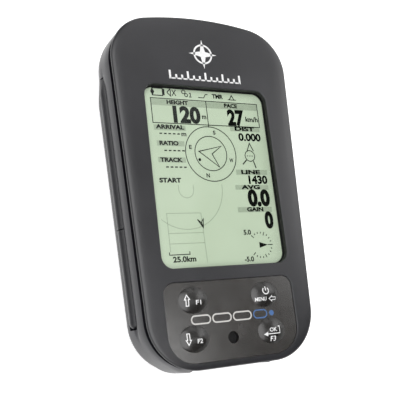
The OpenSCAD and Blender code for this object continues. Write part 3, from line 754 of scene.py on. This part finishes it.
def build_seals():
    low, high = SKIN_TOP - 0.1, GASKET_TOP
    section = [(1.4, low), (1.2, low + 0.2), (1.15, (low + high) / 2), (1.2, high - 0.2), (1.4, high)]
    section += [(2.7, high), (2.7, low)]
    seal = outline_loft("case_seal", case_outline, section, closed=True)
    shade(seal)
    place(seal, SEAL_RUBBER, replaces=["seal_gasket"])
    low, high = WINDOW_LOW.z, WINDOW_HIGH.z
    section = [(0, low), (0, high - 0.2), (0.06, high - 0.06), (0.2, high)]
    section += [(WINDOW_TRIM_T, high), (WINDOW_TRIM_T, low)]
    wall = outline_loft("window_wall", window_outline, section, closed=True)
    shade(wall)
    place(wall, TRIM_BLACK, replaces=["window_trim"])
    low, high = LCD_Z + 0.06, LCD_Z + 0.09
    section = [(-0.4, low), (-0.4, high), (0.8, high), (0.8, low)]
    border = outline_loft("lens_border", window_outline, section, closed=True)
    place(border, TRIM_BLACK)


# ---- Sides ----
def ridge_depth(z, along):
    """Depth of the ridge's surface behind the side wall's surface, negative where it stands proud."""
    bulge = RIDGE_R - RIDGE_PROUD - math.sqrt(RIDGE_R ** 2 - (z - RIDGE_Z) ** 2)
    bulge += RIDGE_PROUD * smooth_step(RIDGE_TOP_Y - RIDGE_RUN_OUT, RIDGE_TOP_Y, along)
    return soft_max(bulge, groove_floor(z, along), 0.2) - 0.005


def ridge_levels():
    count = 18
    return [RIDGE_LOW + (RIDGE_HIGH - RIDGE_LOW) * i / count for i in range(count + 1)]


def grip_ring(z, low_y, high_y, side):
    """Plan of a fixed ridge at one height."""
    steps = 72
    outer = [low_y + (high_y - low_y) * i / steps for i in range(steps + 1)]
    back = [(GRIP_SLOT_D - 0.05, high_y), (GRIP_SLOT_D - 0.05, low_y)]
    plan = [(ridge_depth(z, s), s) for s in outer] + back
    return [(*at_side(d, s, side), z) for d, s in plan]


def door_ring(z):
    """Plan of the port door at one height: straight back, and a round end about the hinge pin."""
    steps = 40
    top = SLIT_Y - SLIT_W / 2
    outer = [PIVOT_Y + (top - PIVOT_Y) * i / steps for i in range(1, steps + 1)]
    r = PIVOT_D - ridge_depth(z, PIVOT_Y)
    reach = math.asin((DOOR_D - PIVOT_D) / r)
    back = [(DOOR_D, top), (DOOR_D, PIVOT_Y + r * math.cos(reach) * 0.25)]
    turns = [2 * QUARTER + i * (2 * QUARTER - 0.35) / 20 for i in reversed(range(21))]
    end = [(min(PIVOT_D + r * math.cos(t), PIVOT_D + 2.2), PIVOT_Y + r * math.sin(t)) for t in turns]
    plan = [(ridge_depth(z, s), s) for s in outer] + back + end
    return [(*at_side(d, s), z) for d, s in plan]


def finish_ridge(piece, name, body="case"):
    """Softens the edges of a ridge's part and gives it its material."""
    soften(piece, 0.14, 3, 50)
    bake(piece)
    shade(piece)
    place(piece, GRIP_PLASTIC, body, [name])


def build_sides():
    for name, low_y, side in (("left_grip", SLIT_Y + SLIT_W / 2, -1), ("right_grip", DOOR_FOOT_Y, 1)):
        rings = [grip_ring(z, low_y, RIDGE_TOP_Y, side) for z in ridge_levels()]
        finish_ridge(loft(name + "_strip", rings), name)
    door = loft("side_port_cover", [door_ring(z) for z in ridge_levels()])
    carve(door, [rod(*at_side(PIVOT_D, PIVOT_Y), 0, 20, PIN_R + 0.05)])
    finish_ridge(door, "port_door", "port_door_body")


# ---- Keypad ----
def dome_height(key, x, y):
    """Height of a key's domed top above the back of the case."""
    fullness = 0.92
    reach = ((x - key.x) / KEY_A) ** 2 + ((y - key.y) / KEY_B) ** 2
    return PAD_Z + KEY_RISE * max(0.0, 1 - reach) ** fullness


def build_keypad():
    edge_r = 0.1
    turns = [QUARTER * i / 6 for i in range(7)]
    profile = [(0, PAD_LOW.z)]
    profile += [(-edge_r * (1 - math.cos(t)), PAD_Z - edge_r + edge_r * math.sin(t)) for t in turns]
    panel = outline_loft("keypad_panel", pad_outline, profile)
    hole_a, hole_b = KEY_A + KEY_GAP, KEY_B + KEY_GAP
    holes = [prism(ellipse(k, hole_a, hole_b), PAD_LOW.z - 1, PAD_Z + 1) for k in KEYS.values()]
    flare = [(0, PAD_LOW.z - 1)] + quarter_flare(PAD_Z - 0.2, 0.22, 0.22)
    holes.append(outline_loft("tool", lambda grow: ellipse(SOUNDER, *(SOUNDER_R + grow,) * 2), flare))
    carve(panel, holes)
    shade(panel)
    place(panel, PAD_FILM, replaces=["keypad_overlay"])

    stem_r, flange_a, flange_b = 1.6, KEY_A + 0.7, KEY_B + 0.7
    flange_low = PLATE_Z - 1.0
    flange_high = flange_low + 0.75
    reaches = [math.cos(QUARTER * i / 22) for i in range(22)]
    for name, key in KEYS.items():
        sizes = [(stem_r, stem_r, box_mm(name)[0].z), (stem_r, stem_r, flange_low)]
        sizes += [(flange_a, flange_b, flange_low), (flange_a, flange_b, flange_high)]
        sizes.append((KEY_A, KEY_B, flange_high))
        sizes += [(KEY_A * r, KEY_B * r, dome_height(key, key.x + KEY_A * r, key.y)) for r in reaches]
        cap = loft(name + "_cap", [flat_ring(ellipse(key, a, b), z) for a, b, z in sizes])
        shade(cap, 55)
        place(cap, KEY_FILM, name + "_body", [name])


# ---- Flat artwork: display marks and printed legends ----
class Artwork:
    """Flat shapes, gathered in millimetres, that become one thin printed piece."""

    def __init__(self, origin=(0.0, 0.0), scale=(1.0, 1.0)):
        self.origin, self.scale = origin, scale
        self.verts, self.faces = [], []

    def add(self, points, faces):
        start = len(self.verts)
        (left, foot), (across, up) = self.origin, self.scale
        self.verts += [(left + x * across, foot + y * up) for x, y in points]
        self.faces += [[start + i for i in face] for face in faces]

    def polygon(self, points):
        self.add(points, [range(len(points))])

    def rect(self, x0, y0, x1, y1):
        self.polygon([(x0, y0), (x1, y0), (x1, y1), (x0, y1)])

    def disc(self, x, y, r):
        self.polygon(ellipse((x, y), r, r, 24))

    def stroke(self, points, width, closed=False):
        """Line of even width along the points, with mitred corners."""
        points = [Vector(p) for p in points]
        count = len(points)
        sides = []
        for i, p in enumerate(points):
            before = points[i - 1] if closed or i else None
            after = points[(i + 1) % count] if closed or i < count - 1 else None
            legs = [(a, b) for a, b in ((before, p), (p, after)) if a is not None and b is not None]
            ways = [(b - a).normalized() for a, b in legs]
            way = sum(ways, Vector((0, 0))).normalized()
            across = Vector((-way.y, way.x))
            square = Vector((-ways[0].y, ways[0].x))
            half = width / 2 / max(0.35, across.dot(square))
            sides += [p + across * half, p - across * half]
        spans = range(count if closed else count - 1)
        total = 2 * count
        faces = [(2 * i, 2 * i + 1, (2 * i + 3) % total, (2 * i + 2) % total) for i in spans]
        self.add([tuple(v) for v in sides], faces)

    def circle(self, x, y, r, width, steps=72):
        self.stroke(ellipse((x, y), r, r, steps), width, closed=True)

    def text(self, words, x0, y0, x1, y1, weight=0.0):
        """Words fitted to the box whose first corner is the lower left of the text."""
        curve = bpy.data.curves.new("words", "FONT")
        curve.body = words
        curve.offset = weight
        curve.resolution_u = 4
        item = link("words", curve)
        mesh = bpy.data.meshes.new_from_object(item.evaluated_get(bpy.context.evaluated_depsgraph_get()))
        bpy.data.objects.remove(item)
        points = [(v.co.x, v.co.y) for v in mesh.vertices]
        low = [min(p[i] for p in points) for i in (0, 1)]
        size = [max(p[i] for p in points) - low[i] for i in (0, 1)]
        fitted = [(x0 + (x - low[0]) / size[0] * (x1 - x0), y0 + (y - low[1]) / size[1] * (y1 - y0))
                  for x, y in points]
        self.add(fitted, [list(face.vertices) for face in mesh.polygons])
        bpy.data.meshes.remove(mesh)

    def piece(self, name, material, slot, height, body="case", thick=0.02, grid=None):
        """Lifts the artwork to height(x, y), cut on a grid where the ground is curved, and thickens it."""
        bm = start_mesh([(x, y, 0) for x, y in self.verts], self.faces)
        bmesh.ops.remove_doubles(bm, verts=bm.verts, dist=1e-4)
        bmesh.ops.triangulate(bm, faces=bm.faces[:])
        if grid:
            for axis in (0, 1):
                low = min(v.co[axis] for v in bm.verts)
                high = max(v.co[axis] for v in bm.verts)
                normal = Vector((1, 0, 0)) if axis == 0 else Vector((0, 1, 0))
                for i in range(1, int((high - low) / grid) + 1):
                    geometry = bm.verts[:] + bm.edges[:] + bm.faces[:]
                    plane = normal * (low + i * grid)
                    bmesh.ops.bisect_plane(bm, geom=geometry, plane_co=plane, plane_no=normal)
        for face in bm.faces:
            if face.normal.z < 0:
                face.normal_flip()
        bmesh.ops.triangulate(bm, faces=[f for f in bm.faces if len(f.verts) > 4])
        top = bm.faces[:]
        grown = bmesh.ops.extrude_face_region(bm, geom=top, use_keep_orig=True)
        raised = {v for v in grown["geom"] if isinstance(v, bmesh.types.BMVert)}
        for v in bm.verts:
            lift = thick if v in raised else -thick / 2
            v.co = Vector((v.co.x, v.co.y, height(v.co.x, v.co.y) + lift)) * MM
        return place(finish_mesh(name, bm), material, body)


def build_emblem():
    """A generic compass star in a ring, and an altimeter-like scale under it."""
    star_y, star_r, waist = 56.6, 6.6, 1.7
    star = Artwork()
    star.circle(0, star_y, star_r * 0.62, 0.75)
    for i in range(4):
        turn = i * QUARTER
        tip = Vector((math.cos(turn), math.sin(turn)))
        across = Vector((-tip.y, tip.x))
        heart = Vector((0, star_y))
        sides = [tuple(heart + (tip + way * across) * waist * 0.7) for way in (1, -1)]
        star.polygon([tuple(heart + tip * star_r), sides[0], tuple(heart), sides[1]])
    star.piece("compass_star", WHITE_PRINT, "front_plastic", lambda x, y: FACE_Z)
    scale = Artwork()
    half, foot, marks = 16.5, 44.4, 13
    scale.rect(-half, foot, half, foot + 0.6)
    for i in range(marks):
        x = -half + 2 * half * i / (marks - 1)
        long_mark = i % 3 == 0
        scale.rect(x - 0.45, foot, x + 0.45, foot + (3.8 if long_mark else 2.1))
    scale.piece("tick_scale", WHITE_PRINT, "front_plastic", lambda x, y: FACE_Z)


def build_panel_print():
    """A row of plain rounded frames across the keypad panel, with a blue one and a blue disc at its end."""
    low, high, start, pitch, width = -55.2, -52.1, -18.9, 9.2, 8.1
    frames = Artwork()
    for i in range(3):
        x = start + i * pitch
        frames.stroke(soft_rect((x, low), (x + width, high), 1.5, 1.5, 0, 8), 0.55, closed=True)
    frames.piece("panel_frames", SILVER_PRINT, "keypad_film", lambda x, y: PAD_Z)
    mark = Artwork()
    mark.stroke(soft_rect((8.8, low), (14.9, high), 1.5, 1.5, 0, 8), 0.5, closed=True)
    mark.disc(17.2, (low + high) / 2, 1.1)
    mark.piece("panel_blue_mark", BLUE_PRINT, "keypad_film", lambda x, y: PAD_Z)


def arrow_outline(x, y, length, width, turn):
    """Corners of a block arrow that points along turn."""
    shaft, half = width * 0.25, width / 2
    tail, tip = -length / 2, length / 2
    neck = tip - length * 0.42
    corners = [(tail, -shaft), (neck, -shaft), (neck, -half), (tip, 0),
               (neck, half), (neck, shaft), (tail, shaft)]
    c, s = math.cos(turn), math.sin(turn)
    return [(x + a * c - b * s, y + a * s + b * c) for a, b in corners]


def build_key_legends():
    line = 0.34
    legends = {name: Artwork() for name in KEYS}
    for name, turn, label in (("key_up", QUARTER, "F1"), ("key_down", -QUARTER, "F2")):
        art, key = legends[name], KEYS[name]
        art.stroke(arrow_outline(key.x - 3.0, key.y, 4.2, 2.0, turn), line, closed=True)
        art.text(label, key.x + 0.5, key.y - 1.8, key.x + 2.9, key.y - 0.1, 0.02)
    art, key = legends["key_menu"], KEYS["key_menu"]
    x, y = key.x, key.y
    art.stroke(arc(x, y + 1.4, 1.35, QUARTER + 0.7, 5 * QUARTER - 0.7, 20), 0.42)
    art.stroke([(x, y + 1.4), (x, y + 3.1)], 0.42)
    art.text("MENU", x - 5.0, y - 2.6, x - 0.1, y - 1.1, 0.02)
    art.stroke(arrow_outline(x + 2.9, y - 1.9, 3.4, 2.1, 2 * QUARTER), 0.3, closed=True)
    art, key = legends["key_enter"], KEYS["key_enter"]
    x, y = key.x, key.y
    art.text("OK", x - 1.6, y - 0.5, x + 1.8, y + 1.1, 0.02)
    art.stroke([(x + 2.4, y + 1.4), (x + 3.2, y + 1.4), (x + 3.2, y - 1.3), (x - 2.6, y - 1.3)], line)
    art.polygon([(x - 4.2, y - 1.3), (x - 2.5, y - 2.2), (x - 2.5, y - 0.4)])
    art.text("F3", x - 1.4, y - 4.2, x + 1.1, y - 2.2, 0.015)
    for name, art in legends.items():
        key = KEYS[name]
        art.piece(name + "_legend", WHITE_PRINT, "key_film", lambda x, y, k=key: dome_height(k, x, y),
                  name + "_body", 0.02, 0.5)


# ---- Display marks, set out in the display's own dots from its upper left ----
def display_art():
    middle = centre_mm("window_trim")
    return Artwork((middle.x - 120 * DOT, middle.y + 160 * DOT), (DOT, -DOT))


def number(art, words, x0, y0, x1, y1, weight=0.0):
    """Text in a box given by its upper left and lower right dots."""
    art.text(words, x0, y1, x1, y0, weight)


def dashes(art, x0, x1, y, count, height=2.4):
    pitch = (x1 - x0) / (count - 0.4)
    for i in range(count):
        start = x0 + i * pitch
        art.rect(start, y - height / 2, start + pitch * 0.6, y + height / 2)


def build_display_values():
    art = display_art()
    number(art, "27", 165, 27, 202, 61, 0.05)
    number(art, "0.000", 184, 74, 234, 90, 0.04)
    number(art, "1430", 194, 158, 236, 175, 0.045)
    number(art, "0.0", 187, 185, 236, 219, 0.06)
    number(art, "0", 218, 228, 237, 262, 0.06)
    for words, x0, x1, y in (("START", 9, 52, 168.5), ("TMR", 137, 161, 2.5)):
        number(art, words, x0, y - 4.5, x1, y + 4.5, 0.05)
    for x0, x1, y in ((19, 60, 81), (25, 66, 113), (25, 66, 144)):
        dashes(art, x0, x1, y, 5)
    art.polygon([(199, 286.5), (217, 292), (199, 297.5)])
    art.rect(217, 291.3, 224, 292.7)
    art.stroke([(75.5, 241), (85.5, 256), (87.5, 240), (82.5, 247), (75.5, 241)], 1.8)
    art.stroke([(82.5, 247), (85.5, 256)], 2.0)
    art.disc(94.8, 129, 2.9)
    return art


def build_display_lines():
    art = display_art()
    number(art, "120", 50.5, 26, 107, 60, 0.05)
    art.stroke([(8.5, 13.5), (235, 13.5), (235, 61), (8.5, 61)], 1.6, closed=True)
    art.stroke([(122, 13.5), (122, 66)], 1.6)
    number(art, "m", 110, 42.5, 119, 49.5, 0.03)
    number(art, "km/h", 205, 40, 233, 50.5, 0.03)
    number(art, "m", 63, 78.5, 73, 85, 0.03)
    build_compass(art)
    build_wind_marker(art)
    build_vario_scale(art)
    build_status_icons(art)
    art.stroke([(13.5, 298), (13.5, 303), (53, 303), (53, 298)], 1.6)
    number(art, "25.0km", 19, 306, 64, 316.5, 0.035)
    return art


def build_compass(art):
    x, y = 120.2, 117.2
    art.circle(x, y, 52.8, 1.6)
    art.circle(x - 0.3, y - 0.7, 33.3, 1.6)
    art.stroke([(95, 113), (143, 102), (122, 117.5), (135, 143)], 1.9, closed=True)
    for i, (letter, half) in enumerate((("S", 2.8), ("W", 4.2), ("N", 3.4), ("E", 2.8))):
        bearing = math.radians(16 + 90 * i)
        middle = (x + 43.4 * math.sin(bearing), y - 43.4 * math.cos(bearing))
        number(art, letter, middle[0] - half, middle[1] - 4, middle[0] + half, middle[1] + 4, 0.03)


def build_wind_marker(art):
    art.circle(204, 119.5, 10.6, 1.6)
    art.stroke([(199.5, 109.5), (206.5, 94), (213.5, 109.5)], 1.8)
    art.stroke([(195.5, 127.5), (186, 136.5)], 2.4)
    art.stroke([(210.5, 129.5), (214.5, 143.5)], 2.2)
    dashes(art, 197, 211, 119.5, 3, 1.5)


def build_vario_scale(art):
    """A half ring of marks with its two end values."""
    number(art, "5.0", 168, 262.5, 184, 272, 0.03)
    number(art, "-5.0", 163, 312.5, 183, 322, 0.03)
    for i in range(17):
        turn = math.radians(-135 + 270 * i / 16)
        x, y = math.cos(turn), math.sin(turn)
        near, far, width = (19.0, 26.0, 1.6) if i % 4 == 0 else (21.6, 24.8, 1.8)
        art.stroke([(202 + near * x, 292 + near * y), (202 + far * x, 292 + far * y)], width)


def build_status_icons(art):
    """Battery, muted speaker, lens, pulse and level marks along the top of the display."""
    art.stroke([(13, -6), (34, -6), (34, 8), (13, 8)], 1.8, closed=True)
    art.polygon([(13.5, -7), (17.5, 1), (13.5, 9), (9.5, 1)])
    art.rect(33, -5, 38, 7)
    art.stroke([(43.5, 0), (50, -6), (50, 8), (43.5, 2)], 1.7, closed=True)
    art.stroke([(53, -5), (61, 7)], 1.7)
    art.stroke([(61, -5), (53, 7)], 1.7)
    art.circle(77, -2, 3.6, 1.6, 24)
    art.circle(82, 4, 3.0, 1.6, 24)
    number(art, "2", 88, -1, 93, 8, 0.03)
    art.stroke([(107, 7), (119, 7), (123, 0), (128, 0)], 1.6)
    art.stroke([(175, 7), (180, -1.5), (185, 7)], 1.9)
    art.stroke([(171, 7.4), (189, 7.4)], 1.6)


def build_display_names():
    art = display_art()
    for words, x0, x1, y in (("HEIGHT", 40, 84, 19.8), ("PACE", 161, 190, 19.8), ("ARRIVAL", 13, 70, 68),
                             ("RATIO", 17, 55, 99), ("TRACK", 15, 60, 130.5), ("DIST", 178, 222, 65.5),
                             ("LINE", 180, 222, 151.5), ("AVG", 176, 217, 181), ("GAIN", 182, 218, 224)):
        number(art, words, x0, y - 4.3, x1, y + 4.3, 0.05)
    return art


def build_display_bars():
    art = display_art()
    for x0, y0, x1, y1 in ((9, 15, 121, 27), (123, 15, 234, 27), (9, 64.5, 73, 75), (12, 94.5, 67, 104.5),
                           (11, 125.5, 66, 135.5), (168, 61.8, 234, 71), (169, 147, 238, 157),
                           (163, 177, 236, 186), (162, 219.5, 237, 229.5)):
        art.rect(x0, y0, x1, y1)
    return art


def build_display_map():
    art = display_art()
    art.stroke([(45, 177)] + arc(60, 186, 15, 2 * QUARTER, 0, 20) + [(75, 177)], 1.0)
    art.stroke([(16, 298), (16, 229), (84, 229), (86, 319)], 1.0)
    for y in (265, 283.5):
        art.stroke([(16, y), (85, y)], 1.0)
    art.stroke(arc(56, 180, 78.5, 2.28, -0.05, 48), 1.0)
    return art


def build_display():
    layers = (
        ("lcd_bars", build_display_bars(), LCD_BAR, 0.0),
        ("lcd_map", build_display_map(), LCD_FAINT, 0.0),
        ("lcd_lines", build_display_lines(), LCD_MID, 0.02),
        ("lcd_values", build_display_values(), LCD_DARK, 0.02),
        ("lcd_names", build_display_names(), LCD_DARK, 0.02),
    )
    for name, art, ink, rise in layers:
        lift = LCD_Z + 0.012 + rise
        art.piece(name, ink, "display", lambda x, y, z=lift: z, thick=0.01)


# ---- Parts kept as the frame gives them ----
def dress_cad_parts():
    """Materials for the CAD nodes that stay, with soft edges on the ones that show."""
    bevels = {"case_screws": 0.12, "rating_label": 0.08, "usb_socket": 0.06, "card_socket": 0.05,
              "memory_card": 0.12, "battery_pack": 0.5, "display_connector": 0.15, "battery_connector": 0.2,
              "processor": 0.08, "gps_module": 0.12, "gps_antenna": 0.1, "lcd_frame": 0.12, "sounder": 0.2,
              "main_board": 0.05, "keypad_board": 0.05, "backup_cell": 0.25, "lanyard_bar": 0.1}
    for name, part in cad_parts.items():
        if part.hide_render or not part.data.materials:
            continue
        kind = part.data.materials[0].name.split(".")[0]
        part.data.materials[0] = CAD_MATERIALS[kind]
        if name in bevels:
            weld = part.modifiers.new("join corners", "WELD")
            weld.merge_threshold = 0.002 * MM
            soften(part, bevels[name], 2, 40)


# ---- Studio, in metres ----
LIGHT_HEIGHT = 0.6


def floor_material():
    s = Surface("floor_white", 0.8)
    s.colour((0.86, 0.86, 0.86))
    s.shader.inputs["Emission Color"].default_value = (1, 1, 1, 1)
    s.shader.inputs["Emission Strength"].default_value = 0.6
    return s.material


def build_floor():
    """Round floor with a low wall at its far edge, which hides the horizon."""
    radius, wall_height, count = 3.0, 1.2, 64
    turns = [2 * math.pi * i / count for i in range(count)]
    foot = [(radius * math.cos(t), radius * math.sin(t), 0) for t in turns]
    top = [(x, y, wall_height) for x, y, _ in foot]
    faces = [tuple(range(count))]
    faces += [(i, i + count, (i + 1) % count + count, (i + 1) % count) for i in range(count)]
    mesh = bpy.data.meshes.new("floor")
    mesh.from_pydata(foot + top, [], faces)
    mesh.materials.append(floor_material())
    link("floor", mesh)


def soft_light(name, low, high, strength, turn=0.0):
    """A soft box that faces the floor, given by two corners of its outline before it is turned."""
    centre = (Vector(low) + Vector(high)) / 2
    data = bpy.data.lights.new(name, "AREA")
    data.shape = "RECTANGLE"
    data.size = high[0] - low[0]
    data.size_y = high[1] - low[1]
    data.energy = strength * data.size * data.size_y * math.pi
    light = link(name, data)
    light.location = (centre.x, centre.y, LIGHT_HEIGHT)
    light.rotation_euler = (0, 0, turn)


def build_studio():
    build_floor()
    soft_light("overhead", (-0.50, -0.55), (0.04, 0.45), 3.3)
    soft_light("keypad_glow", (0.16, -0.16), (0.245, -0.03), 5.0)
    soft_light("lens_sheen", (0.175, 0.0), (0.305, 0.36), 0.45, turn=-0.234)
    soft_light("far_bank", (0.14, 0.36), (0.42, 1.2), 1.6)
    soft_light("right_bank", (0.60, 0.05), (1.2, 0.8), 2.4)
    soft_light("right_edge", (0.45, -0.01), (0.60, 0.32), 3.6)
    world = bpy.data.worlds.new("studio")
    world.use_nodes = True
    world.node_tree.nodes["Background"].inputs["Color"].default_value = (1, 1, 1, 1)
    world.node_tree.nodes["Background"].inputs["Strength"].default_value = 0.01
    bpy.context.scene.world = world
    bpy.context.scene.view_settings.view_transform = "Standard"


def build_camera():
    azimuth, elevation, roll = (math.radians(a) for a in (-66.2, 59.62, 62.44))
    distance = 0.27511
    aim = Vector((-0.00951, -0.00683, FACE_Z * MM))
    way = Vector((math.sin(azimuth) * math.cos(elevation), -math.cos(azimuth) * math.cos(elevation),
                  math.sin(elevation)))
    data = bpy.data.cameras.new("camera")
    data.lens = 62.1
    data.sensor_width = 36.0
    data.clip_start = 0.01
    camera = link("camera", data)
    camera.location = aim + way * distance
    camera.rotation_mode = "QUATERNION"
    camera.rotation_quaternion = way.to_track_quat("Z", "Y") @ Quaternion((0, 0, 1), roll)
    bpy.context.scene.camera = camera


build_camera()
build_rear_shell()
build_front_shell()
build_seals()
build_sides()
build_keypad()
build_emblem()
build_panel_print()
build_key_legends()
build_display()
dress_cad_parts()
build_studio()
